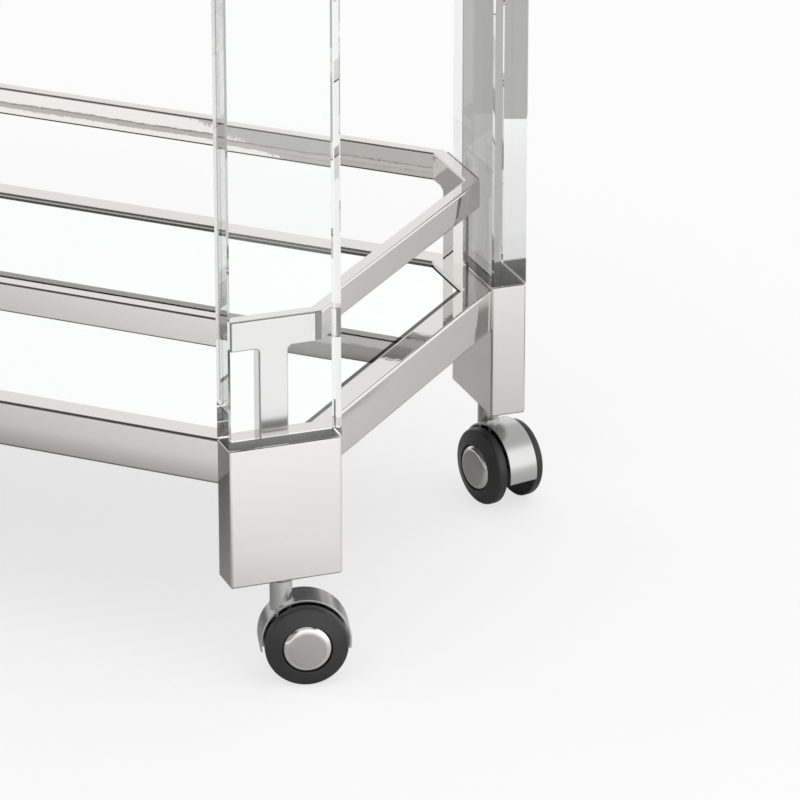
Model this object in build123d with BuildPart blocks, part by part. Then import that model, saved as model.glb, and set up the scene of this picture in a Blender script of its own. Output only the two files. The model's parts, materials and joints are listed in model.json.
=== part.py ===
"""Bar cart: two octagonal mirrored trays with gallery rails, four clear posts, twin wheel casters.

X runs along the cart, Y across it (the front is -Y) and Z up from the floor, all in millimetres.
"""

import os
from math import cos, radians, sin, sqrt

from build123d import *

# Overall
overall_height = 838.0
frame_length = 876.0
frame_depth = 370.0
corner_cut = 52.0

# Clear posts and the metal boots and caps that they stand in
post_width = 76.2
post_thickness = 25.4
post_bevel = 1.2
post_end_bevel = 0.8
socket_wall = 1.6
socket_radius = 2.0
rim_radius = 0.8
foot_radius = 1.3
tenon_clearance = 0.15
tenon_end_gap = 0.3
boot_height = 95.3
boot_base = 18.0
cap_roof = 4.0

# Tray frames
rail_drop = 1.1
rail_height = 31.2
rail_width = 19.0
rail_wall = 1.6
rail_radius = 2.0

# Gallery rails and their T-shaped corner brackets
gallery_height = 20.0
gallery_width = 10.0
gallery_wall = 1.4
gallery_radius = 1.5
gallery_inset = 7.8
gallery_gap = 59.7
bracket_arm = 57.0
bracket_stem = 19.4
bracket_proud = 1.9
bracket_root = 4.0
bracket_fillet = 3.0
bracket_arm_radius = 1.8
bracket_edge = 1.5

# Mirrored shelves on their ledges
shelf_thickness = 5.0
shelf_recess = 2.6
shelf_margin = 0.9
shelf_arris = 0.5
ledge_width = 10.0
ledge_thickness = 3.0
ledge_end_gap = 30.0

# Bolts from each corner rail into its boot or cap
bolt_diameter = 6.0
bolt_pitch = 30.0
bolt_drop = 20.5
bolt_bite = 14.0
bolt_head_diameter = 10.5
bolt_head_height = 3.3
bolt_head_radius = 1.6
bolt_socket = 4.0
bolt_socket_depth = 2.0
bolt_clearance = 0.2
thread_clearance = 0.05

# Casters
caster_height = 72.0
wheel_radius = 27.4
caster_trail = 15.1
hood_radius = 30.0
hood_width = 22.2
hood_wall = 1.3
hood_skirt = 5.5
hood_edge = 0.3
web_thickness = 5.0
axle_boss_radius = 6.5
boss_radius = 7.4
boss_floor = 34.0
collar_radius = 7.9
collar_height = 2.8
collar_edge = 0.5
thrust_gap = 0.3
shank_diameter = 10.0
shank_length = 16.0
pintle_diameter = 8.0
pintle_length = 26.0
pintle_end_gap = 1.0
axle_diameter = 6.0
axle_head_radius = 4.6
axle_head_height = 1.0
running_clearance = 0.05
fixed_clearance = 0.03
wheel_side_gap = 0.4
hub_floor = 17.0
hub_recess_radius = 16.5
hub_rim = 0.4
face_height = 21.9
face_radius = 26.2
face_edge = 18.4
shoulder_height = 16.0
tread_bevel = 0.8
hub_cap_radius = 15.9
hub_cap_top = 23.4
hub_cap_skin = 1.0
hub_cap_dome = 5.2
hub_cap_edge = 2.4

# Heights that follow from the sizes above
boot_bottom = caster_height
boot_top = boot_bottom + boot_height
lower_top = boot_top - rail_drop
upper_top = overall_height - rail_drop - gallery_gap - gallery_height
cap_bottom = upper_top - rail_height - rail_drop
cap_height = overall_height - cap_bottom
tenon_width = post_width - 2 * (socket_wall + tenon_clearance)
tenon_thickness = post_thickness - 2 * (socket_wall + tenon_clearance)
lower_tenon = boot_height - boot_base - tenon_end_gap
upper_tenon = cap_height - cap_roof - tenon_end_gap
axle_height = wheel_radius
collar_bottom = boot_bottom - collar_height
boss_top = collar_bottom - thrust_gap
wheel_inner = hood_width / 2 + wheel_side_gap

os.makedirs("parts", exist_ok=True)


def octagon(inset):
    """Corners of the tray outline moved inwards, anticlockwise from the front right corner."""
    x = frame_length / 2 - inset
    y = frame_depth / 2 - inset
    cut = corner_cut - inset * (2 - sqrt(2))
    right = [(x - cut, -y), (x, -y + cut), (x, y - cut), (x - cut, y)]
    return right + [(-px, -py) for px, py in right]


def side(index, outer, inner):
    """Mitred plan of one side of the octagon between two insets."""
    out, inn = octagon(outer), octagon(inner)
    after = (index + 1) % 8
    return [out[index], out[after], inn[after], inn[index]]


# Sides of the octagon by their number: corner, end, corner, long side and so on
front_right, right_side, back_right, back_side, back_left, left_side, front_left, front_side = range(8)
corner_sides = (front_right, back_right, back_left, front_left)

# Each corner's outward direction, the middle of its outer edge and the centre of its post
root_half = sqrt(0.5)
corner_names = ("front_right", "back_right", "back_left", "front_left")
corner_signs = ((1, -1), (1, 1), (-1, 1), (-1, -1))
corners = {}
for name, (sx, sy) in zip(corner_names, corner_signs):
    normal = (sx * root_half, sy * root_half, 0)
    along = (-normal[1], normal[0], 0)
    mid_x = sx * (frame_length - corner_cut) / 2
    mid_y = sy * (frame_depth - corner_cut) / 2
    post_x = mid_x + normal[0] * post_thickness / 2
    post_y = mid_y + normal[1] * post_thickness / 2
    corners[name] = {
        "edge": Plane(origin=(mid_x, mid_y, 0), x_dir=along, z_dir=normal),
        "post": Plane(origin=(post_x, post_y, 0), x_dir=along, z_dir=(0, 0, 1)),
        "centre": (post_x, post_y),
    }


def diagonal(edge):
    """True for an edge that runs along a corner side."""
    direction = edge.tangent_at(0.5)
    return abs(direction.X) > 0.5 and abs(direction.Y) > 0.5


# The two trays, from the frame up to the gallery
for tier, top in (("lower", lower_top), ("upper", upper_top)):
    rail_base = top - rail_height
    bolt_level = top - bolt_drop
    gallery_base = top + gallery_gap
    gallery_top = gallery_base + gallery_height
    shelf_base = top - shelf_recess - shelf_thickness

    # Frame rails of rectangular tube, mitred at the corners
    for label, sides, run in (
        ("front_rail", (front_side,), Axis.X),
        ("back_rail", (back_side,), Axis.X),
        ("end_rails", (left_side, right_side), Axis.Y),
        ("corner_rails", corner_sides, diagonal),
    ):
        with BuildPart() as rail:
            for index in sides:
                with BuildSketch(Plane.XY.offset(rail_base)):
                    with BuildLine():
                        Polyline(*side(index, 0, rail_width), close=True)
                    make_face()
                extrude(amount=rail_height)
            fillet(rail.edges().filter_by(run), radius=rail_radius)
            for index in sides:
                with BuildSketch(Plane.XY.offset(rail_base + rail_wall)):
                    with BuildLine():
                        Polyline(*side(index, rail_wall, rail_width - rail_wall), close=True)
                    make_face()
                extrude(amount=rail_height - 2 * rail_wall, mode=Mode.SUBTRACT)
            if sides == corner_sides:
                for corner in corners.values():
                    with BuildSketch(corner["edge"]):
                        with Locations((0, bolt_level)):
                            with GridLocations(bolt_pitch, 0, 2, 1):
                                Circle(bolt_diameter / 2 + bolt_clearance)
                    extrude(amount=-rail_width, mode=Mode.SUBTRACT)
        rail.part.label = f"{tier}_{label}"
        export_step(rail.part, f"parts/{tier}_{label}.step")

    # Ledges inside the frame that carry the shelf
    with BuildPart() as ledges:
        ledge_x = frame_length / 2 - rail_width - ledge_width / 2
        ledge_y = frame_depth / 2 - rail_width - ledge_width / 2
        long_ledge = frame_length - 2 * (corner_cut + ledge_end_gap)
        short_ledge = frame_depth - 2 * (corner_cut + ledge_end_gap)
        with BuildSketch(Plane.XY.offset(shelf_base - ledge_thickness)):
            with Locations((0, -ledge_y), (0, ledge_y)):
                Rectangle(long_ledge, ledge_width)
            with Locations((-ledge_x, 0), (ledge_x, 0)):
                Rectangle(ledge_width, short_ledge)
        extrude(amount=ledge_thickness)
    ledges.part.label = f"{tier}_shelf_ledges"
    export_step(ledges.part, f"parts/{tier}_shelf_ledges.step")

    # Mirrored glass shelf
    with BuildPart() as shelf:
        with BuildSketch(Plane.XY.offset(shelf_base)):
            with BuildLine():
                Polyline(*octagon(rail_width + shelf_margin), close=True)
            make_face()
        extrude(amount=shelf_thickness)
        chamfer(shelf.faces().sort_by(Axis.Z)[-1].edges(), length=shelf_arris)
    shelf.part.label = f"{tier}_mirror_shelf"
    export_step(shelf.part, f"parts/{tier}_mirror_shelf.step")

    # Gallery rails of smaller tube
    for label, sides, run in (
        ("gallery_front", (front_side,), Axis.X),
        ("gallery_back", (back_side,), Axis.X),
        ("gallery_ends", (left_side, right_side), Axis.Y),
    ):
        with BuildPart() as gallery:
            for index in sides:
                with BuildSketch(Plane.XY.offset(gallery_base)):
                    with BuildLine():
                        Polyline(*side(index, gallery_inset, gallery_inset + gallery_width), close=True)
                    make_face()
                extrude(amount=gallery_height)
            fillet(gallery.edges().filter_by(run), radius=gallery_radius)
            for index in sides:
                hollow_outer = gallery_inset + gallery_wall
                hollow_inner = gallery_inset + gallery_width - gallery_wall
                with BuildSketch(Plane.XY.offset(gallery_base + gallery_wall)):
                    with BuildLine():
                        Polyline(*side(index, hollow_outer, hollow_inner), close=True)
                    make_face()
                extrude(amount=gallery_height - 2 * gallery_wall, mode=Mode.SUBTRACT)
        gallery.part.label = f"{tier}_{label}"
        export_step(gallery.part, f"parts/{tier}_{label}.step")

    # T-shaped brackets: a mitred corner bar with a proud T face and a stem down to the corner rail
    with BuildPart() as brackets:
        for index in corner_sides:
            with BuildSketch(Plane.XY.offset(gallery_base)):
                with BuildLine():
                    Polyline(*side(index, gallery_inset, gallery_inset + gallery_width), close=True)
                make_face()
            extrude(amount=gallery_height)
        fillet(brackets.edges().filter_by(diagonal), radius=gallery_radius)
        for corner in corners.values():
            face = corner["edge"].offset(bracket_proud - gallery_inset)
            with BuildSketch(face) as tee:
                with Locations((0, gallery_base + gallery_height / 2)):
                    Rectangle(bracket_arm, gallery_height)
                with Locations((0, top)):
                    Rectangle(bracket_stem, gallery_gap + gallery_height / 2, align=(Align.CENTER, Align.MIN))
                inner, outer = tee.vertices().sort_by(Axis.Y)[2:].group_by(lambda v: abs(v.X))
                fillet(inner, radius=bracket_fillet)
                fillet(outer, radius=bracket_arm_radius)
            extrude(amount=-(bracket_proud + bracket_root))
            with BuildSketch(face.offset(-bracket_proud)) as root:
                with Locations((0, gallery_base)):
                    Rectangle(
                        bracket_stem + 3 * bracket_fillet,
                        gallery_height / 2,
                        align=(Align.CENTER, Align.MIN),
                    )
                with Locations((0, top)):
                    Rectangle(bracket_stem, gallery_gap + gallery_height / 4, align=(Align.CENTER, Align.MIN))
                inner = root.vertices().sort_by(Axis.Y)[2:].group_by(lambda v: abs(v.X))[0]
                fillet(inner, radius=bracket_fillet)
            extrude(amount=-gallery_width)
            proud = brackets.faces().filter_by(lambda f: abs(face.to_local_coords(f.center()).Z) < 0.01)
            rim = proud.sort_by(SortBy.AREA)[-1].outer_wire().edges()
            fillet(rim.sort_by(Axis.Z)[1:], radius=bracket_edge)
    brackets.part.label = f"{tier}_t_brackets"
    export_step(brackets.part, f"parts/{tier}_t_brackets.step")

    # Button head bolts through the corner rails
    with BuildPart() as bolts:
        for corner in corners.values():
            seat = corner["edge"].offset(-rail_width)
            with BuildSketch(seat):
                with Locations((0, bolt_level)):
                    with GridLocations(bolt_pitch, 0, 2, 1):
                        Circle(bolt_diameter / 2)
            extrude(amount=rail_width + socket_wall + bolt_bite)
            with BuildSketch(seat):
                with Locations((0, bolt_level)):
                    with GridLocations(bolt_pitch, 0, 2, 1):
                        Circle(bolt_head_diameter / 2)
            extrude(amount=-bolt_head_height)
            crown = seat.offset(-bolt_head_height)
            rims = bolts.faces().filter_by(lambda f: abs(crown.to_local_coords(f.center()).Z) < 0.01)
            fillet(rims.edges(), radius=bolt_head_radius)
            with BuildSketch(crown):
                with Locations((0, bolt_level)):
                    with GridLocations(bolt_pitch, 0, 2, 1):
                        RegularPolygon(bolt_socket / 2, 6, major_radius=False)
            extrude(amount=bolt_socket_depth, mode=Mode.SUBTRACT)
    bolts.part.label = f"{tier}_frame_bolts"
    export_step(bolts.part, f"parts/{tier}_frame_bolts.step")

# Clear posts with a tenon at each end
for name, corner in corners.items():
    with BuildPart() as post:
        with BuildSketch(corner["post"].offset(boot_top)):
            Rectangle(post_width, post_thickness)
        extrude(amount=cap_bottom - boot_top)
        chamfer(post.edges().filter_by(Axis.Z), length=post_bevel)
        chamfer(post.faces().filter_by(Axis.Z).edges(), length=post_end_bevel)
        with BuildSketch(corner["post"].offset(boot_top)):
            Rectangle(tenon_width, tenon_thickness)
        extrude(amount=-lower_tenon)
        with BuildSketch(corner["post"].offset(cap_bottom)):
            Rectangle(tenon_width, tenon_thickness)
        extrude(amount=upper_tenon)
        for level in (lower_top - bolt_drop, upper_top - bolt_drop):
            with BuildSketch(corner["edge"]):
                with Locations((0, level)):
                    with GridLocations(bolt_pitch, 0, 2, 1):
                        Circle(bolt_diameter / 2 + thread_clearance)
            extrude(amount=socket_wall + bolt_bite + tenon_end_gap, mode=Mode.SUBTRACT)
    post.part.label = f"{name}_post"
    export_step(post.part, f"parts/{name}_post.step")

# Boots under the posts, open at the top and drilled for the caster below
for name, corner in corners.items():
    with BuildPart() as boot:
        with BuildSketch(corner["post"].offset(boot_bottom)):
            Rectangle(post_width, post_thickness)
        extrude(amount=boot_height)
        fillet(boot.edges().filter_by(Axis.Z), radius=socket_radius)
        fillet(boot.faces().sort_by(Axis.Z)[0].edges(), radius=foot_radius)
        fillet(boot.faces().sort_by(Axis.Z)[-1].edges(), radius=rim_radius)
        with BuildSketch(corner["post"].offset(boot_bottom + boot_base)):
            Rectangle(post_width - 2 * socket_wall, post_thickness - 2 * socket_wall)
        extrude(amount=boot_height - boot_base, mode=Mode.SUBTRACT)
        with BuildSketch(corner["post"].offset(boot_bottom)):
            Circle(shank_diameter / 2 + fixed_clearance)
        extrude(amount=boot_base, mode=Mode.SUBTRACT)
        with BuildSketch(corner["edge"]):
            with Locations((0, lower_top - bolt_drop)):
                with GridLocations(bolt_pitch, 0, 2, 1):
                    Circle(bolt_diameter / 2 + bolt_clearance)
        extrude(amount=2 * socket_wall, mode=Mode.SUBTRACT)
    boot.part.label = f"{name}_boot"
    export_step(boot.part, f"parts/{name}_boot.step")

# Caps over the upper ends of the posts
with BuildPart() as caps:
    for corner in corners.values():
        with BuildSketch(corner["post"].offset(cap_bottom)):
            Rectangle(post_width, post_thickness)
        extrude(amount=cap_height)
    fillet(caps.edges().filter_by(Axis.Z), radius=socket_radius)
    fillet(caps.faces().filter_by(Axis.Z).group_by(Axis.Z)[-1].edges(), radius=rim_radius)
    fillet(caps.faces().filter_by(Axis.Z).group_by(Axis.Z)[0].edges(), radius=rim_radius)
    for corner in corners.values():
        with BuildSketch(corner["post"].offset(cap_bottom)):
            Rectangle(post_width - 2 * socket_wall, post_thickness - 2 * socket_wall)
        extrude(amount=cap_height - cap_roof, mode=Mode.SUBTRACT)
        with BuildSketch(corner["edge"]):
            with Locations((0, upper_top - bolt_drop)):
                with GridLocations(bolt_pitch, 0, 2, 1):
                    Circle(bolt_diameter / 2 + bolt_clearance)
        extrude(amount=2 * socket_wall, mode=Mode.SUBTRACT)
caps.part.label = "post_caps"
export_step(caps.part, "parts/post_caps.step")

# Casters, each turned as it stands; opposite corners are half a turn apart
caster_turns = {"front_right": 30.9, "back_right": -32.2, "back_left": 210.9, "front_left": 147.8}
for name, turn in caster_turns.items():
    post_plane = corners[name]["post"]
    stem_x, stem_y = corners[name]["centre"]
    trail = (cos(radians(turn)), sin(radians(turn)), 0)
    axle_line = (trail[1], -trail[0], 0)
    hub = (stem_x + caster_trail * trail[0], stem_y + caster_trail * trail[1], axle_height)
    spin = Axis(origin=hub, direction=axle_line)
    swivel = Axis(origin=(stem_x, stem_y, 0), direction=(0, 0, 1))
    wheel_plane = Plane(origin=hub, x_dir=trail, z_dir=axle_line)
    stem_plane = Plane(origin=(stem_x, stem_y, 0), x_dir=trail, z_dir=axle_line)

    # Stem: shank in the boot, collar below it and pintle in the hood
    with BuildPart() as stem:
        with BuildSketch(stem_plane):
            with BuildLine():
                Polyline(
                    (0, boot_bottom + shank_length),
                    (shank_diameter / 2, boot_bottom + shank_length),
                    (shank_diameter / 2, boot_bottom),
                    (collar_radius, boot_bottom),
                    (collar_radius, collar_bottom + collar_edge),
                    (collar_radius - collar_edge, collar_bottom),
                    (pintle_diameter / 2, collar_bottom),
                    (pintle_diameter / 2, collar_bottom - pintle_length),
                    (0, collar_bottom - pintle_length),
                    close=True,
                )
            make_face()
        revolve(axis=swivel)
    stem.part.label = f"{name}_caster_stem"
    export_step(stem.part, f"parts/{name}_caster_stem.step")

    # Hood: half round shell with a web, a boss for the axle and a boss for the pintle
    with BuildPart() as hood:
        with BuildSketch(wheel_plane):
            Circle(hood_radius)
            Circle(hood_radius - hood_wall, mode=Mode.SUBTRACT)
            with Locations((0, -hood_skirt - hood_radius)):
                Rectangle(3 * hood_radius, 2 * hood_radius, mode=Mode.SUBTRACT)
        extrude(amount=hood_width / 2, both=True)
        fillet(
            hood.edges().filter_by(GeomType.CIRCLE).filter_by(lambda e: abs(e.radius - hood_radius) < 0.01),
            radius=hood_edge,
        )
        with BuildSketch(wheel_plane):
            Circle(hood_radius - hood_wall / 2)
            with Locations((0, -hood_skirt - hood_radius)):
                Rectangle(3 * hood_radius, 2 * hood_radius, mode=Mode.SUBTRACT)
        extrude(amount=web_thickness / 2, both=True)
        with BuildSketch(wheel_plane):
            Circle(axle_boss_radius)
        extrude(amount=hood_width / 2, both=True)
        with BuildSketch(post_plane.offset(boss_floor)):
            Circle(boss_radius)
        extrude(amount=boss_top - boss_floor)
        with BuildSketch(post_plane.offset(boss_top)):
            Circle(pintle_diameter / 2 + running_clearance)
        extrude(amount=-(pintle_length - thrust_gap + pintle_end_gap), mode=Mode.SUBTRACT)
        with BuildSketch(wheel_plane):
            Circle(axle_diameter / 2 + fixed_clearance)
        extrude(amount=hood_width, both=True, mode=Mode.SUBTRACT)
    hood.part.label = f"{name}_caster_hood"
    export_step(hood.part, f"parts/{name}_caster_hood.step")

    # Axle with a flat head at each end
    with BuildPart() as axle:
        head_start = hub_floor + running_clearance + thrust_gap / 2
        with BuildSketch(wheel_plane):
            Circle(axle_diameter / 2)
        extrude(amount=head_start, both=True)
        for reach in (1, -1):
            with BuildSketch(wheel_plane.offset(reach * head_start)):
                Circle(axle_head_radius)
            extrude(amount=reach * axle_head_height)
    axle.part.label = f"{name}_axle"
    export_step(axle.part, f"parts/{name}_axle.step")

    # A wheel and its hub cap on each side
    for letter, up in (("a", -1), ("b", 1)):
        profile_plane = Plane(origin=hub, x_dir=trail, z_dir=(0, 0, up))
        with BuildPart() as wheel:
            with BuildSketch(profile_plane):
                with BuildLine():
                    bore = axle_diameter / 2 + running_clearance
                    Polyline(
                        (face_radius, face_edge),
                        (hub_recess_radius + hub_rim, face_height),
                        (hub_recess_radius, face_height - hub_rim),
                        (hub_recess_radius, hub_floor),
                        (bore, hub_floor),
                        (bore, wheel_inner),
                        (wheel_radius - tread_bevel, wheel_inner),
                        (wheel_radius, wheel_inner + tread_bevel),
                        (wheel_radius, shoulder_height),
                    )
                    TangentArc(
                        (wheel_radius, shoulder_height),
                        (face_radius, face_edge),
                        tangent=(0, 1),
                    )
                make_face()
            revolve(axis=spin)
        wheel.part.label = f"{name}_wheel_{letter}"
        export_step(wheel.part, f"parts/{name}_wheel_{letter}.step")

        with BuildPart() as hub_cap:
            with BuildSketch(profile_plane):
                with BuildLine():
                    TangentArc(
                        (hub_cap_radius - hub_cap_dome, hub_cap_top),
                        (hub_cap_radius, hub_cap_top - hub_cap_edge),
                        tangent=(1, 0),
                    )
                    Polyline(
                        (hub_cap_radius, hub_cap_top - hub_cap_edge),
                        (hub_cap_radius, hub_floor),
                        (hub_cap_radius - hub_cap_skin, hub_floor),
                        (hub_cap_radius - hub_cap_skin, hub_cap_top - hub_cap_edge - hub_cap_skin / 2),
                        (hub_cap_radius - hub_cap_dome, hub_cap_top - hub_cap_skin),
                        (0, hub_cap_top - hub_cap_skin),
                        (0, hub_cap_top),
                        (hub_cap_radius - hub_cap_dome, hub_cap_top),
                    )
                make_face()
            revolve(axis=spin)
        hub_cap.part.label = f"{name}_hub_cap_{letter}"
        export_step(hub_cap.part, f"parts/{name}_hub_cap_{letter}.step")
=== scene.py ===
import json
import math

import bpy
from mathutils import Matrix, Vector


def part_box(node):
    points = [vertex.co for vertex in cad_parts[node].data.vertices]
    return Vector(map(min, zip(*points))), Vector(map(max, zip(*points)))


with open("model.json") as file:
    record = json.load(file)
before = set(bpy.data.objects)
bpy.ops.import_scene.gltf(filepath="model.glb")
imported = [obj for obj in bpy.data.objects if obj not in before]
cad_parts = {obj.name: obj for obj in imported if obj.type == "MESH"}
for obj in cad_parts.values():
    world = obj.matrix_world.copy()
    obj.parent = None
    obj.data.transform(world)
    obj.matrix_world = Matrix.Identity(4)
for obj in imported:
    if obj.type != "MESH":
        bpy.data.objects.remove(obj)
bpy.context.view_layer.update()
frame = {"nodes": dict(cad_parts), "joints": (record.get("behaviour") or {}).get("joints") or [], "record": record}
nodes = frame["nodes"]
scene = bpy.context.scene

# Node trees


def feed(tree, socket, value):
    """Links a socket from another node's output, or sets it to a number or colour."""
    if isinstance(value, bpy.types.NodeSocket):
        tree.links.new(value, socket)
    else:
        socket.default_value = value


def place(tree, kind, inputs=None, **settings):
    """Adds a node with its settings and inputs."""
    node = tree.nodes.new(kind)
    for name, value in settings.items():
        setattr(node, name, value)
    for name, value in (inputs or {}).items():
        feed(tree, node.inputs[name], value)
    return node


def math_node(tree, operation, *values, clamp=False):
    """One sum; returns its output."""
    inputs = dict(enumerate(values))
    return place(tree, "ShaderNodeMath", inputs, operation=operation, use_clamp=clamp).outputs[0]


def vector_node(tree, operation, *values):
    """One step of vector arithmetic; returns the node's outputs."""
    return place(tree, "ShaderNodeVectorMath", dict(enumerate(values)), operation=operation).outputs


def dot(tree, vector, direction):
    """How far a vector reaches along a direction."""
    return vector_node(tree, "DOT_PRODUCT", vector, direction)["Value"]


def part_of(tree, vector, axis):
    """A vector's X, Y or Z."""
    return place(tree, "ShaderNodeSeparateXYZ", {0: vector}).outputs[axis]


def ramp(tree, value, low, high, out_low=0.0, out_high=1.0):
    """Smooth step of a value from low..high to out_low..out_high."""
    inputs = {"Value": value, "From Min": low, "From Max": high, "To Min": out_low, "To Max": out_high}
    return place(tree, "ShaderNodeMapRange", inputs, interpolation_type="SMOOTHSTEP").outputs["Result"]


def stretched(tree, vector, scale):
    """Coordinates scaled by their own amount along each axis."""
    return place(tree, "ShaderNodeMapping", {"Vector": vector, "Scale": scale}).outputs["Vector"]


def noise(tree, vector, scale, detail=2.0, roughness=0.5):
    """Cloudy values between nought and one."""
    inputs = {"Vector": vector, "Scale": scale, "Detail": detail, "Roughness": roughness}
    return place(tree, "ShaderNodeTexNoise", inputs).outputs["Fac"]


def blended(tree, factor, first, second):
    """Two values mixed by a factor."""
    return place(tree, "ShaderNodeMix", {0: factor, 2: first, 3: second}, data_type="FLOAT").outputs[0]


def mixed(tree, factor, first, second):
    """Two colours mixed by a factor."""
    return place(tree, "ShaderNodeMix", {0: factor, 6: first, 7: second}, data_type="RGBA").outputs[2]


def either(tree, factor, first, second):
    """Two shaders mixed by a factor."""
    shaders = {0: factor, 1: first.outputs[0], 2: second.outputs[0]}
    return place(tree, "ShaderNodeMixShader", shaders)


def bump(tree, height, distance, over=None):
    """The normal of a face raised by a height, over an earlier normal where there is one."""
    inputs = {"Height": height, "Distance": distance}
    if over is not None:
        inputs["Normal"] = over
    return place(tree, "ShaderNodeBump", inputs).outputs["Normal"]


def roughened(tree, rough, *spoilt):
    """A roughness that each mask raises, or lowers, by its own amount."""
    for mask, amount in spoilt:
        rough = math_node(tree, "MULTIPLY_ADD", mask, amount, rough)
    return rough


# Effects that several finishes share

FLOAT, VECTOR = "NodeSocketFloat", "NodeSocketVector"


def new_group(name, inputs, outputs):
    """A shader group with named sockets; returns its tree, inputs and outputs."""
    tree = bpy.data.node_groups.new(name, "ShaderNodeTree")
    for label, kind, value in inputs:
        socket = tree.interface.new_socket(label, in_out="INPUT", socket_type=kind)
        if value is not None:
            socket.default_value = value
    for label, kind in outputs:
        tree.interface.new_socket(label, in_out="OUTPUT", socket_type=kind)
    return tree, tree.nodes.new("NodeGroupInput").outputs, tree.nodes.new("NodeGroupOutput").inputs


def grouped(tree, group, **inputs):
    """A shared effect placed in a material with its own values."""
    node = place(tree, "ShaderNodeGroup", node_tree=group)
    for name, value in inputs.items():
        feed(tree, node.inputs[name.replace("_", " ").title()], value)
    return node.outputs


def make_hand_marks():
    """Wiped smears and finger marks that dull a polished face in patches."""
    tree, given, result = new_group(
        "hand_marks",
        [("Position", VECTOR, None), ("Patch Scale", FLOAT, 14.0), ("Cover", FLOAT, 0.5)],
        [("Mask", FLOAT)],
    )
    clean_level, cover_share, soft_edge = 0.72, 0.3, 0.2
    streak_stretch = (30.0, 30.0, 420.0)
    faintest_streak = 0.25
    patches = noise(tree, given["Position"], given["Patch Scale"], detail=3.0, roughness=0.55)
    cut = math_node(tree, "SUBTRACT", clean_level, math_node(tree, "MULTIPLY", given["Cover"], cover_share))
    smears = ramp(tree, patches, cut, math_node(tree, "ADD", cut, soft_edge))
    streaks = noise(tree, stretched(tree, given["Position"], streak_stretch), 1.0, roughness=0.6)
    streaks = math_node(tree, "ADD", streaks, faintest_streak)
    tree.links.new(math_node(tree, "MULTIPLY", smears, streaks), result["Mask"])
    return tree


def make_polish_lines():
    """Fine polishing lines along a bar and the slow waviness that a buffing wheel leaves."""
    tree, given, result = new_group(
        "polish_lines",
        [("Position", VECTOR, None), ("Line Scale", FLOAT, 1.0), ("Waviness", FLOAT, 1.0)],
        [("Height", FLOAT), ("Lines", FLOAT)],
    )
    line_stretch, wave_stretch = (9.0, 9.0, 2600.0), (6.0, 6.0, 24.0)
    ripple_scale = 170.0
    line_share, ripple_share = 0.004, 0.06
    lines = stretched(tree, given["Position"], line_stretch)
    lines = noise(tree, lines, given["Line Scale"], roughness=0.6)
    waves = stretched(tree, given["Position"], wave_stretch)
    waves = noise(tree, waves, 1.0, detail=1.0, roughness=0.4)
    ripples = noise(tree, given["Position"], ripple_scale)
    waves = math_node(tree, "MULTIPLY_ADD", ripples, ripple_share, waves)
    waves = math_node(tree, "MULTIPLY", waves, given["Waviness"])
    tree.links.new(math_node(tree, "MULTIPLY_ADD", lines, line_share, waves), result["Height"])
    tree.links.new(lines, result["Lines"])
    return tree


def make_settled_dust():
    """Dust that lies in drifts on faces turned upwards."""
    tree, given, result = new_group(
        "settled_dust",
        [("Position", VECTOR, None), ("Amount", FLOAT, 0.3)],
        [("Mask", FLOAT)],
    )
    speck_scale, drift_scale = 900.0, 16.0
    normal = tree.nodes.new("ShaderNodeNewGeometry").outputs["Normal"]
    upward = ramp(tree, part_of(tree, normal, "Z"), 0.35, 0.95)
    specks = ramp(tree, noise(tree, given["Position"], speck_scale, roughness=0.7), 0.55, 0.8)
    drifts = noise(tree, given["Position"], drift_scale, detail=3.0, roughness=0.6)
    lying = math_node(tree, "MULTIPLY", math_node(tree, "MULTIPLY", specks, drifts), upward)
    tree.links.new(math_node(tree, "MULTIPLY", lying, given["Amount"], clamp=True), result["Mask"])
    return tree


def make_edge_wear():
    """Edges that cleaning and knocks have rubbed, broken up along their length."""
    tree, given, result = new_group(
        "edge_wear",
        [("Position", VECTOR, None), ("Width", FLOAT, 0.0008), ("Amount", FLOAT, 0.5)],
        [("Mask", FLOAT)],
    )
    break_scale = 70.0
    rounded = place(tree, "ShaderNodeBevel", {"Radius": given["Width"]}, samples=4).outputs["Normal"]
    flat = tree.nodes.new("ShaderNodeNewGeometry").outputs["Normal"]
    edge = ramp(tree, dot(tree, rounded, flat), 0.99, 0.8)
    breaks = noise(tree, given["Position"], break_scale, detail=4.0, roughness=0.65)
    rubbed = math_node(tree, "MULTIPLY", edge, ramp(tree, breaks, 0.35, 0.65))
    tree.links.new(math_node(tree, "MULTIPLY", rubbed, given["Amount"], clamp=True), result["Mask"])
    return tree


hand_marks = make_hand_marks()
polish_lines = make_polish_lines()
settled_dust = make_settled_dust()
edge_wear = make_edge_wear()

# Places on the cart that a finish follows

# The four corners are folded into one: its post's centre, its outward direction and the way along it
post_low, post_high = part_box("front_right_post")
post_centre = (abs(post_low.x + post_high.x) / 2, abs(post_low.y + post_high.y) / 2, 0)
slant = math.sqrt(0.5)
outward, sideways = (slant, slant, 0), (slant, -slant, 0)
# Half of a socket's long and short side
socket_half_long, socket_half_short = 0.0372, 0.0118
# How far out of the post's centre the T's face and the recess beside it begin, and half the recess's length
t_face, t_recess, recess_half = -0.0190, -0.0212, 0.0332
recess_soft = 0.0002
# The mirrors' ends, and how wide the painted shade line along each end is
shelf_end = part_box("lower_mirror_shelf")[1].x
shade_line_width, shade_line_soft = 0.0039, 0.0003
shade_line_start = shelf_end - shade_line_width


def from_post(tree, position, direction):
    """Distance from the middle of the nearest post along a direction of the corner."""
    folded = vector_node(tree, "ABSOLUTE", position)[0]
    return dot(tree, vector_node(tree, "SUBTRACT", folded, post_centre)[0], direction)


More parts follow.
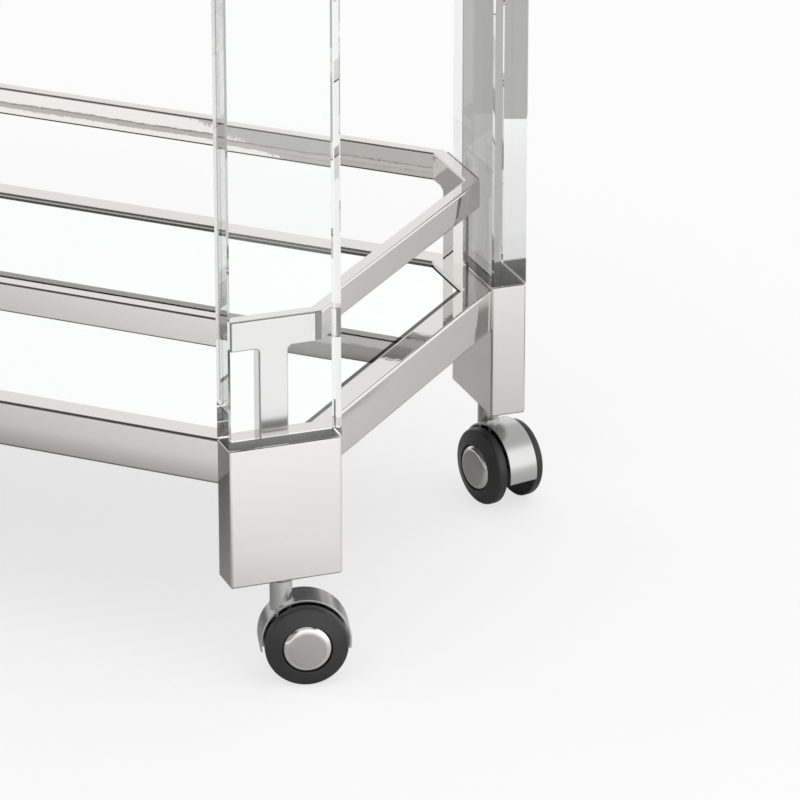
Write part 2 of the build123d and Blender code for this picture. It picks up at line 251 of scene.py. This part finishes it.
def socket_inside(tree, position):
    """One inside the four posts' sockets, nought outside them."""
    inside = 1.0
    for direction, limit in ((sideways, socket_half_long), (outward, socket_half_short)):
        reach = math_node(tree, "ABSOLUTE", from_post(tree, position, direction))
        inside = math_node(tree, "MULTIPLY", inside, math_node(tree, "LESS_THAN", reach, limit))
    return inside


# Finishes


def new_paint(name):
    """An empty material; returns it and its tree."""
    material = bpy.data.materials.new(name)
    material.use_nodes = True
    material.node_tree.nodes.clear()
    return material, material.node_tree


def new_material(name):
    """A material with a Principled shader; returns it, its tree, the shader and its coordinates."""
    material, tree = new_paint(name)
    shader = tree.nodes.new("ShaderNodeBsdfPrincipled")
    place(tree, "ShaderNodeOutputMaterial", {"Surface": shader.outputs["BSDF"]})
    position = tree.nodes.new("ShaderNodeTexCoord").outputs["Object"]
    return material, tree, shader, position


# The darker and lighter tone that each metal's polishing lines mix, and how rough polished plate is
nickel_tones = (0.685, 0.670, 0.645, 1), (0.715, 0.700, 0.676, 1)
cast_tones = (0.540, 0.539, 0.536, 1), (0.590, 0.589, 0.585, 1)
polished = 0.035
plate_relief = 0.0004


def make_polished_nickel(name, crown=0.0, socket=False, tones=nickel_tones, roughness=polished):
    """Polished plate; a tube's faces stand a little crowned, and a socket is left rough inside."""
    rubbed, dusty = (0.80, 0.79, 0.77, 1), (0.62, 0.61, 0.59, 1)
    # The near-black tone is painted shade for the rounded lower edges
    painted_shade_under_edge, recess_tone = (0.20, 0.196, 0.188, 1), (0.55, 0.545, 0.535, 1)
    material, tree, shader, position = new_material(name)
    marks = grouped(tree, hand_marks, position=position, patch_scale=11.0, cover=0.45)
    lines = grouped(tree, polish_lines, position=position, line_scale=1.0, waviness=1.0)
    dust = grouped(tree, settled_dust, position=position, amount=0.25)
    worn = grouped(tree, edge_wear, position=position, width=0.0009, amount=0.6)
    plate = mixed(tree, lines["Lines"], *tones)
    plate = mixed(tree, worn["Mask"], plate, rubbed)
    plate = mixed(tree, dust["Mask"], plate, dusty)
    # Painted shade: the rounded lower edges are painted dark, the flat undersides are not
    facing = part_of(tree, tree.nodes.new("ShaderNodeTexCoord").outputs["Normal"], "Z")
    painted_shade_lower_edge = ramp(tree, facing, -0.10, -0.45)
    painted_shade_lower_edge = math_node(tree, "SUBTRACT", painted_shade_lower_edge, ramp(tree, facing, -0.93, -0.99))
    plate = mixed(tree, painted_shade_lower_edge, plate, painted_shade_under_edge)
    rough = roughened(tree, roughness, (marks["Mask"], 0.10), (dust["Mask"], 0.5))
    bare = math_node(tree, "SUBTRACT", 1.0, dust["Mask"])
    if socket:
        inside = socket_inside(tree, position)
        plate = mixed(tree, inside, plate, recess_tone)
        rough = math_node(tree, "MULTIPLY_ADD", inside, 0.6, rough, clamp=True)
        bare = math_node(tree, "MULTIPLY", bare, math_node(tree, "SUBTRACT", 1.0, inside))
    feed(tree, shader.inputs["Base Color"], plate)
    feed(tree, shader.inputs["Roughness"], rough)
    feed(tree, shader.inputs["Metallic"], bare)
    normal = bump(tree, lines["Height"], plate_relief)
    if crown:
        spread = tree.nodes.new("ShaderNodeTexCoord").outputs["Generated"]
        rise = math_node(tree, "MULTIPLY_ADD", part_of(tree, spread, "Z"), 2.0, -1.0)
        dome = math_node(tree, "SUBTRACT", 1.0, math_node(tree, "MULTIPLY", rise, rise))
        normal = bump(tree, dome, crown, normal)
    feed(tree, shader.inputs["Normal"], normal)
    return material


def make_bracket_plate():
    """A cast bracket: its T face is satin with a painted highlight, and beside that the plate is rougher where no
    wheel reaches, with painted shade in that recess.
    """
    # The pale tone is a painted highlight on the T face, and the dark tone is painted shade for the recess beside
    # it
    rubbed, satin_painted_highlight = (0.80, 0.795, 0.785, 1), (0.90, 0.895, 0.885, 1)
    recess_tone = (0.26, 0.258, 0.252, 1)
    material, tree, shader, position = new_material("bracket_plate")
    marks = grouped(tree, hand_marks, position=position, patch_scale=16.0, cover=0.4)
    lines = grouped(tree, polish_lines, position=position, line_scale=1.0, waviness=1.0)
    worn = grouped(tree, edge_wear, position=position, width=0.0006, amount=0.4)
    out = from_post(tree, position, outward)
    along = math_node(tree, "ABSOLUTE", from_post(tree, position, sideways))
    face = ramp(tree, out, t_face - recess_soft, t_face + recess_soft)
    front = ramp(tree, along, recess_half - recess_soft, recess_half + recess_soft, 1.0, 0.0)
    front = math_node(tree, "MULTIPLY", math_node(tree, "GREATER_THAN", out, t_recess), front)
    recess_painted_shade = math_node(tree, "SUBTRACT", front, face, clamp=True)
    plate = mixed(tree, lines["Lines"], *nickel_tones)
    plate = mixed(tree, worn["Mask"], plate, rubbed)
    # Painted shade darkens the recess beside the T face, and a painted highlight makes the T face pale
    plate = mixed(tree, recess_painted_shade, plate, recess_tone)
    plate = mixed(tree, face, plate, satin_painted_highlight)
    feed(tree, shader.inputs["Base Color"], plate)
    feed(tree, shader.inputs["Metallic"], 1.0)
    rough = roughened(tree, polished, (marks["Mask"], 0.10), (front, 0.18))
    feed(tree, shader.inputs["Roughness"], rough)
    feed(tree, shader.inputs["Normal"], bump(tree, lines["Height"], plate_relief))
    return material


def make_clear_acrylic():
    """Clear bar; a long way through it shows its faint grey, so faces seen aslant are deeper."""
    straight_through, long_way = (0.985, 0.992, 0.99, 1), (0.95, 0.957, 0.953, 1)
    acrylic_ior = 1.49
    wave_scale, wave_depth = 12.0, 0.00002
    material, tree, shader, position = new_material("clear_acrylic")
    marks = grouped(tree, hand_marks, position=position, patch_scale=7.0, cover=0.3)
    facing = place(tree, "ShaderNodeLayerWeight", {"Blend": 0.5}).outputs["Facing"]
    colour = mixed(tree, ramp(tree, facing, 0.45, 0.95), straight_through, long_way)
    waves = noise(tree, position, wave_scale, detail=1.0)
    feed(tree, shader.inputs["Base Color"], colour)
    feed(tree, shader.inputs["IOR"], acrylic_ior)
    feed(tree, shader.inputs["Transmission Weight"], 1.0)
    feed(tree, shader.inputs["Roughness"], math_node(tree, "MULTIPLY", marks["Mask"], 0.03))
    feed(tree, shader.inputs["Normal"], bump(tree, waves, wave_depth))
    return material


def make_mirror_glass():
    """Silvered glass; a painted shade line along its two ends stands in for the shadow in the gap there."""
    edge_glass, silvered = (0.20, 0.34, 0.29, 1), (0.945, 0.955, 0.95, 1)
    # The near-black tone is painted shade for the gap at the mirror's two ends
    backing, painted_gap_shade, dusty = (0.17, 0.175, 0.18, 1), (0.05, 0.05, 0.05, 1), (0.7, 0.69, 0.67, 1)
    clean_glass = 0.006
    material, tree, shader, position = new_material("mirror_glass")
    marks = grouped(tree, hand_marks, position=position, patch_scale=6.0, cover=0.35)
    dust = grouped(tree, settled_dust, position=position, amount=0.18)
    facing = part_of(tree, tree.nodes.new("ShaderNodeNewGeometry").outputs["Normal"], "Z")
    top = ramp(tree, facing, 0.2, 0.6)
    under = ramp(tree, facing, -0.6, -0.2, 1.0, 0.0)
    reach = part_of(tree, vector_node(tree, "ABSOLUTE", position)[0], "X")
    painted_shade_line = ramp(tree, reach, shade_line_start - shade_line_soft, shade_line_start + shade_line_soft)
    colour = mixed(tree, top, edge_glass, silvered)
    colour = mixed(tree, under, colour, backing)
    # Painted shade: a dark line along the mirror's two ends
    colour = mixed(tree, math_node(tree, "MULTIPLY", painted_shade_line, top), colour, painted_gap_shade)
    colour = mixed(tree, dust["Mask"], colour, dusty)
    feed(tree, shader.inputs["Base Color"], colour)
    feed(tree, shader.inputs["Metallic"], math_node(tree, "SUBTRACT", top, dust["Mask"], clamp=True))
    rough = roughened(tree, clean_glass, (marks["Mask"], 0.03), (dust["Mask"], 0.4), (under, 0.5))
    feed(tree, shader.inputs["Roughness"], rough)
    return material


def make_black_tread():
    """Black moulded wheel, scuffed along its edges and dusty on top."""
    darker, lighter = (0.017, 0.017, 0.0175, 1), (0.030, 0.030, 0.031, 1)
    scuffed, dusty = (0.05, 0.05, 0.05, 1), (0.16, 0.15, 0.14, 1)
    semi_gloss, sheen = 0.26, 0.45
    mottle_scale, pore_scale, pore_depth = 260.0, 1500.0, 0.00004
    material, tree, shader, position = new_material("black_tread")
    worn = grouped(tree, edge_wear, position=position, width=0.0012, amount=0.6)
    dust = grouped(tree, settled_dust, position=position, amount=0.5)
    mottle = noise(tree, position, mottle_scale, detail=3.0, roughness=0.6)
    colour = mixed(tree, mottle, darker, lighter)
    colour = mixed(tree, worn["Mask"], colour, scuffed)
    colour = mixed(tree, dust["Mask"], colour, dusty)
    feed(tree, shader.inputs["Base Color"], colour)
    feed(tree, shader.inputs["Specular IOR Level"], sheen)
    rough = roughened(tree, semi_gloss, (mottle, 0.12), (worn["Mask"], 0.2))
    feed(tree, shader.inputs["Roughness"], rough)
    feed(tree, shader.inputs["Normal"], bump(tree, noise(tree, position, pore_scale), pore_depth))
    return material


def make_satin_nickel():
    """Satin hub cap with a bright rim where its dome falls away."""
    darker, lighter = (0.51, 0.500, 0.485, 1), (0.61, 0.600, 0.583, 1)
    bright_rim, rubbed = (0.74, 0.732, 0.72, 1), (0.78, 0.775, 0.765, 1)
    satin = 0.26
    grain_scale, grain_depth = 2400.0, 0.00003
    material, tree, shader, position = new_material("satin_nickel")
    marks = grouped(tree, hand_marks, position=position, patch_scale=40.0, cover=0.4)
    worn = grouped(tree, edge_wear, position=position, width=0.0010, amount=0.7)
    grain = noise(tree, position, grain_scale, roughness=0.6)
    # The wheels stand at like angles on both sides, so one folded axle direction serves all the caps
    axle = next(joint["axis"] for joint in frame["joints"] if joint["name"].endswith("_spin"))
    facing = vector_node(tree, "ABSOLUTE", tree.nodes.new("ShaderNodeTexCoord").outputs["Normal"])[0]
    rim = ramp(tree, dot(tree, facing, [abs(part) for part in axle]), 0.985, 0.93)
    colour = mixed(tree, grain, darker, lighter)
    colour = mixed(tree, rim, colour, bright_rim)
    colour = mixed(tree, worn["Mask"], colour, rubbed)
    feed(tree, shader.inputs["Base Color"], colour)
    feed(tree, shader.inputs["Metallic"], 1.0)
    rough = roughened(tree, satin, (marks["Mask"], 0.1), (rim, -0.2))
    feed(tree, shader.inputs["Roughness"], rough)
    feed(tree, shader.inputs["Normal"], bump(tree, grain, grain_depth))
    return material


def make_bolt_steel():
    """Plated bolts and axles, rubbed bright along their edges."""
    plated, rubbed = (0.42, 0.42, 0.43, 1), (0.7, 0.7, 0.7, 1)
    drawn, line_depth = 0.2, 0.0001
    material, tree, shader, position = new_material("bolt_steel")
    lines = grouped(tree, polish_lines, position=position, line_scale=2.0, waviness=0.3)
    worn = grouped(tree, edge_wear, position=position, width=0.0005, amount=0.8)
    feed(tree, shader.inputs["Base Color"], mixed(tree, worn["Mask"], plated, rubbed))
    feed(tree, shader.inputs["Metallic"], 1.0)
    feed(tree, shader.inputs["Roughness"], roughened(tree, drawn, (lines["Lines"], 0.12)))
    feed(tree, shader.inputs["Normal"], bump(tree, lines["Height"], line_depth))
    return material


finishes = {
    "polished_metal": make_polished_nickel("polished_nickel"),
    "clear_acrylic": make_clear_acrylic(),
    "mirror_glass": make_mirror_glass(),
    "wheel_black": make_black_tread(),
    "satin_cap": make_satin_nickel(),
    "fastener_steel": make_bolt_steel(),
}
for row in frame["record"]["subparts"]:
    mesh = nodes[row["node"]].data
    mesh.materials.clear()
    mesh.materials.append(finishes[row["material_slot"]])

# Tubes, sockets, brackets and casters have their own plate
rail_plate = make_polished_nickel("rail_plate", crown=0.0005)
gallery_plate = make_polished_nickel("gallery_plate", crown=0.00025)
socket_plate = make_polished_nickel("socket_plate", socket=True)
bracket_plate = make_bracket_plate()
caster_plate = make_polished_nickel("caster_plate", tones=cast_tones, roughness=0.23)
for name, node in nodes.items():
    if name.endswith(("_rail", "_rails")):
        node.data.materials[0] = rail_plate
    elif "_gallery_" in name:
        node.data.materials[0] = gallery_plate
    elif name.endswith("_boot") or name == "post_caps":
        node.data.materials[0] = socket_plate
    elif name.endswith("_t_brackets"):
        node.data.materials[0] = bracket_plate
    elif name.endswith(("_caster_hood", "_caster_stem")):
        node.data.materials[0] = caster_plate

# Floor

white = (1, 1, 1, 1)
floor_half = 40.0
# The floor lies a hair below the wheels
floor_drop = 0.0003
floor_tone = 0.9
# Round spots on the floor that metal mirrors dimmer or brighter: centre, core, edge and tone
floor_spots = ((0.745, 0.32, 0), 0.06, 0.13, 0.45), ((0.14, 0.31, 0), 0.10, 0.24, 1.45)
# The way to the bright side of the studio
bright_way = (0.8, -0.6, 0)


def make_sheet(name, corners):
    """A flat sheet with four corners; returns its object."""
    mesh = bpy.data.meshes.new(name)
    mesh.from_pydata(corners, [], [(0, 1, 2, 3)])
    sheet = bpy.data.objects.new(name, mesh)
    scene.collection.objects.link(sheet)
    return sheet


def floor_in_metal(tree, spot):
    """How bright metal mirrors the floor: fading from the bright side of the studio to the dim one."""
    dim_side, bright_side = 0.55, 1.5
    rightwards, backwards = dot(tree, spot, (1, 0, 0)), dot(tree, spot, (0, 1, 0))
    across = dot(tree, spot, bright_way)
    fade = place(tree, "ShaderNodeMapRange", {"Value": across, "To Min": dim_side, "To Max": bright_side})
    # Well away from the cart the floor is even, sooner behind it and to its left than elsewhere
    far_weight, left_weight = 0.45, -0.7
    even_from, even_to = 0.72, 1.2
    away = math_node(tree, "MULTIPLY", vector_node(tree, "LENGTH", spot)["Value"], far_weight)
    behind = math_node(tree, "MAXIMUM", backwards, math_node(tree, "MULTIPLY", rightwards, left_weight))
    away = ramp(tree, math_node(tree, "MAXIMUM", behind, away), even_from, even_to)
    fade = blended(tree, away, fade.outputs["Result"], 1.0)
    # A dim band lies along the front and fades out at the right end
    band_ahead, band_core, band_edge, band_dimming = 0.30, 0.06, 0.24, 0.40
    band_fades, band_ends = 0.40, 0.66
    band = math_node(tree, "ABSOLUTE", math_node(tree, "ADD", backwards, band_ahead))
    band = ramp(tree, band, band_core, band_edge, band_dimming, 0.0)
    band = math_node(tree, "MULTIPLY", band, ramp(tree, rightwards, band_fades, band_ends, 1.0, 0.0))
    fade = math_node(tree, "MULTIPLY", fade, math_node(tree, "SUBTRACT", 1.0, band))
    for centre, core, edge, tone in floor_spots:
        gap = vector_node(tree, "DISTANCE", spot, centre)["Value"]
        fade = math_node(tree, "MULTIPLY", fade, ramp(tree, gap, core, edge, tone, 1.0))
    shade = math_node(tree, "MULTIPLY", fade, floor_tone)
    return place(tree, "ShaderNodeCombineColor", {0: shade, 1: shade, 2: shade}).outputs[0]


def make_pale_floor():
    """Matt floor, lifted towards white where it is seen directly, or through the posts but for a strip."""
    paint, tree = new_paint("pale_floor")
    path = tree.nodes.new("ShaderNodeLightPath").outputs
    where = tree.nodes.new("ShaderNodeNewGeometry").outputs
    in_metal = math_node(tree, "SUBTRACT", path["Is Glossy Ray"], path["Is Transmission Ray"], clamp=True)
    plain = (floor_tone, floor_tone, floor_tone, 1)
    direct_lift, through_lift = 0.7, 0.6
    strip_behind, strip_core, strip_edge = 0.33, 0.12, 0.22
    colour = mixed(tree, in_metal, plain, floor_in_metal(tree, where["Position"]))
    matt = place(tree, "ShaderNodeBsdfDiffuse", {"Color": colour})
    glow = place(tree, "ShaderNodeEmission", {"Color": white, "Strength": 1.0})
    from_strip = math_node(tree, "SUBTRACT", dot(tree, where["Position"], (0, 1, 0)), strip_behind)
    from_strip = math_node(tree, "ABSOLUTE", from_strip)
    through = ramp(tree, from_strip, strip_core, strip_edge, 0.0, through_lift)
    through = math_node(tree, "MULTIPLY", path["Is Transmission Ray"], through)
    lift = math_node(tree, "MULTIPLY_ADD", path["Is Camera Ray"], direct_lift, through)
    seen = either(tree, lift, matt, glow)
    seen = either(tree, where["Backfacing"], seen, tree.nodes.new("ShaderNodeBsdfTransparent"))
    place(tree, "ShaderNodeOutputMaterial", {"Surface": seen.outputs[0]})
    return paint


floor_signs = (-1, -1), (1, -1), (1, 1), (-1, 1)
floor = make_sheet("floor", [(x * floor_half, y * floor_half, 0) for x, y in floor_signs])
floor.location.z = -floor_drop
floor.data.materials.append(make_pale_floor())

# Light

soft_strength = 0.9
# The walls' tone and how much it grows towards the right, then the tones of the ceiling and its beams
wall_tone, wall_growth = 1.15, 0.3
ceiling_tone, beam_tone = 0.7, 0.06
# The way to the dim screen at the front left, and its tone at the foot and at the head
screen_way = (-0.41, -0.91, 0)
screen_foot, screen_head = 0.40, 0.12
# Each ceiling beam: the direction across it, where it lies, and its core and edge to either side
ceiling_beams = ((1, 0, 0), -0.40, 0.09, 0.18), (outward, 0.31, 0.06, 0.13)


def room_in_metal(tree):
    """What metal mirrors: pale walls, a dim screen, and a ceiling whose dark beams end before the back."""
    direction = tree.nodes.new("ShaderNodeTexCoord").outputs["Generated"]
    parts = place(tree, "ShaderNodeSeparateXYZ", {0: direction}).outputs
    upwards, backwards = parts["Z"], parts["Y"]
    level = vector_node(tree, "NORMALIZE", vector_node(tree, "MULTIPLY", direction, (1, 1, 0))[0])[0]
    walls = math_node(tree, "MULTIPLY_ADD", parts["X"], wall_growth, wall_tone)
    screen_edge, screen_core = 0.80, 0.93
    screen = ramp(tree, upwards, 0.38, 0.5, screen_foot, screen_head)
    screen = ramp(tree, dot(tree, level, screen_way), screen_edge, screen_core, 1.0, screen)
    walls = math_node(tree, "MULTIPLY", walls, screen)
    beams = 0.0
    for across, centre, core, edge in ceiling_beams:
        gap = math_node(tree, "SUBTRACT", dot(tree, direction, across), centre)
        gap = math_node(tree, "ABSOLUTE", gap)
        beams = math_node(tree, "MAXIMUM", beams, ramp(tree, gap, core, edge, 1.0, 0.0))
    beams_fade, beams_end = 0.20, 0.40
    beams = math_node(tree, "MULTIPLY", beams, ramp(tree, backwards, beams_fade, beams_end, 1.0, 0.0))
    ceiling = blended(tree, beams, ceiling_tone, beam_tone)
    wall_top, ceiling_edge = 0.58, 0.72
    return blended(tree, ramp(tree, upwards, wall_top, ceiling_edge), walls, ceiling)


def make_studio():
    """Soft even light, a white backdrop, and a room that only polished metal shows."""
    studio = bpy.data.worlds.new("studio")
    studio.use_nodes = True
    tree = studio.node_tree
    tree.nodes.clear()
    path = tree.nodes.new("ShaderNodeLightPath").outputs
    soft = place(tree, "ShaderNodeBackground", {"Color": white, "Strength": soft_strength})
    backdrop = place(tree, "ShaderNodeBackground", {"Color": white, "Strength": 1.0})
    room = place(tree, "ShaderNodeBackground", {"Color": white, "Strength": room_in_metal(tree)})
    shown = math_node(tree, "MAXIMUM", path["Is Camera Ray"], path["Is Transmission Ray"])
    both = either(tree, path["Is Glossy Ray"], soft, room)
    both = either(tree, shown, both, backdrop)
    place(tree, "ShaderNodeOutputWorld", {"Surface": both.outputs[0]})
    return studio


scene.world = make_studio()


def add_sun(name, strength, azimuth, elevation, spread):
    """A broad soft source far away; azimuth counts from the front towards the right."""
    light = bpy.data.lights.new(name, "SUN")
    light.energy = strength
    light.angle = math.radians(spread)
    lamp = bpy.data.objects.new(name, light)
    lamp.rotation_euler = (math.radians(90 - elevation), 0, math.radians(azimuth))
    lamp.visible_glossy = False
    scene.collection.objects.link(lamp)


add_sun("overhead", strength=0.5, azimuth=20, elevation=70, spread=60)


def add_card(name, corners, colour, strength, ray, bounces=1):
    """A studio card that only one kind of ray sees, from its front and after some bounces off metal."""
    card = make_sheet(name, corners)
    for kind in ("camera", "diffuse", "glossy", "transmission", "volume_scatter", "shadow"):
        setattr(card, "visible_" + kind, kind == ray)
    paint, tree = new_paint(name)
    glow = place(tree, "ShaderNodeEmission", {"Color": colour, "Strength": strength})
    hidden = tree.nodes.new("ShaderNodeNewGeometry").outputs["Backfacing"]
    if ray == "glossy":
        depth = tree.nodes.new("ShaderNodeLightPath").outputs["Glossy Depth"]
        hidden = math_node(tree, "MAXIMUM", hidden, math_node(tree, "LESS_THAN", depth, bounces - 0.5))
    seen = either(tree, hidden, glow, tree.nodes.new("ShaderNodeBsdfTransparent"))
    place(tree, "ShaderNodeOutputMaterial", {"Surface": seen.outputs[0]})
    card.data.materials.append(paint)


# Low panels in front, seen from below only, light the galleries by way of the mirrors
panel_height = 0.6
panel_front, panel_back = -2.0, -0.72


def add_low_panel(name, left, right, strength):
    """A level panel; each side is given by where it stands at the front and at the back."""
    corners = [
        (left[0], panel_front, panel_height),
        (left[1], panel_back, panel_height),
        (right[1], panel_back, panel_height),
        (right[0], panel_front, panel_height),
    ]
    add_card(name, corners, white, strength, "glossy", bounces=2)


panel_joint = (-0.90, -0.177)
add_low_panel("white_panel", (-3.1, -2.4), panel_joint, strength=1.28)
add_low_panel("grey_panel", panel_joint, (0.0, 0.3), strength=0.66)


def add_upright_card(name, start, end, height, colour, strength):
    """A card that stands on the floor from start to end and shows through the clear posts only."""
    corners = [(*start, 0), (*end, 0), (*end, height), (*start, height)]
    add_card(name, corners, colour, strength, "transmission")


# Grey cards behind the cart, seen only through the clear posts, paint shade into the clear back post
right_grey, back_grey = (1, 0.99, 0.968, 1), (1, 0.99, 0.965, 1)
add_upright_card("right_grey_card", (0.30, 0.28), (0.62, 0.28), 1.0, right_grey, strength=0.40)
add_upright_card("back_grey_card", (-0.40, 0.34), (-0.23, 0.70), 1.2, back_grey, strength=0.39)

# Camera, from a fit to the photo's edges

camera_place = (1.7722, -2.9575, 1.4572)
camera_tilt, camera_turn = math.radians(67.81), math.radians(24.42)
lens_mm, sensor_mm = 236.1, 36.0

camera_data = bpy.data.cameras.new("camera")
camera_data.sensor_width = sensor_mm
camera_data.lens = lens_mm
camera = bpy.data.objects.new("camera", camera_data)
camera.location = camera_place
camera.rotation_euler = (camera_tilt, 0, camera_turn)
scene.collection.objects.link(camera)
scene.camera = camera

scene.view_settings.view_transform = "Standard"
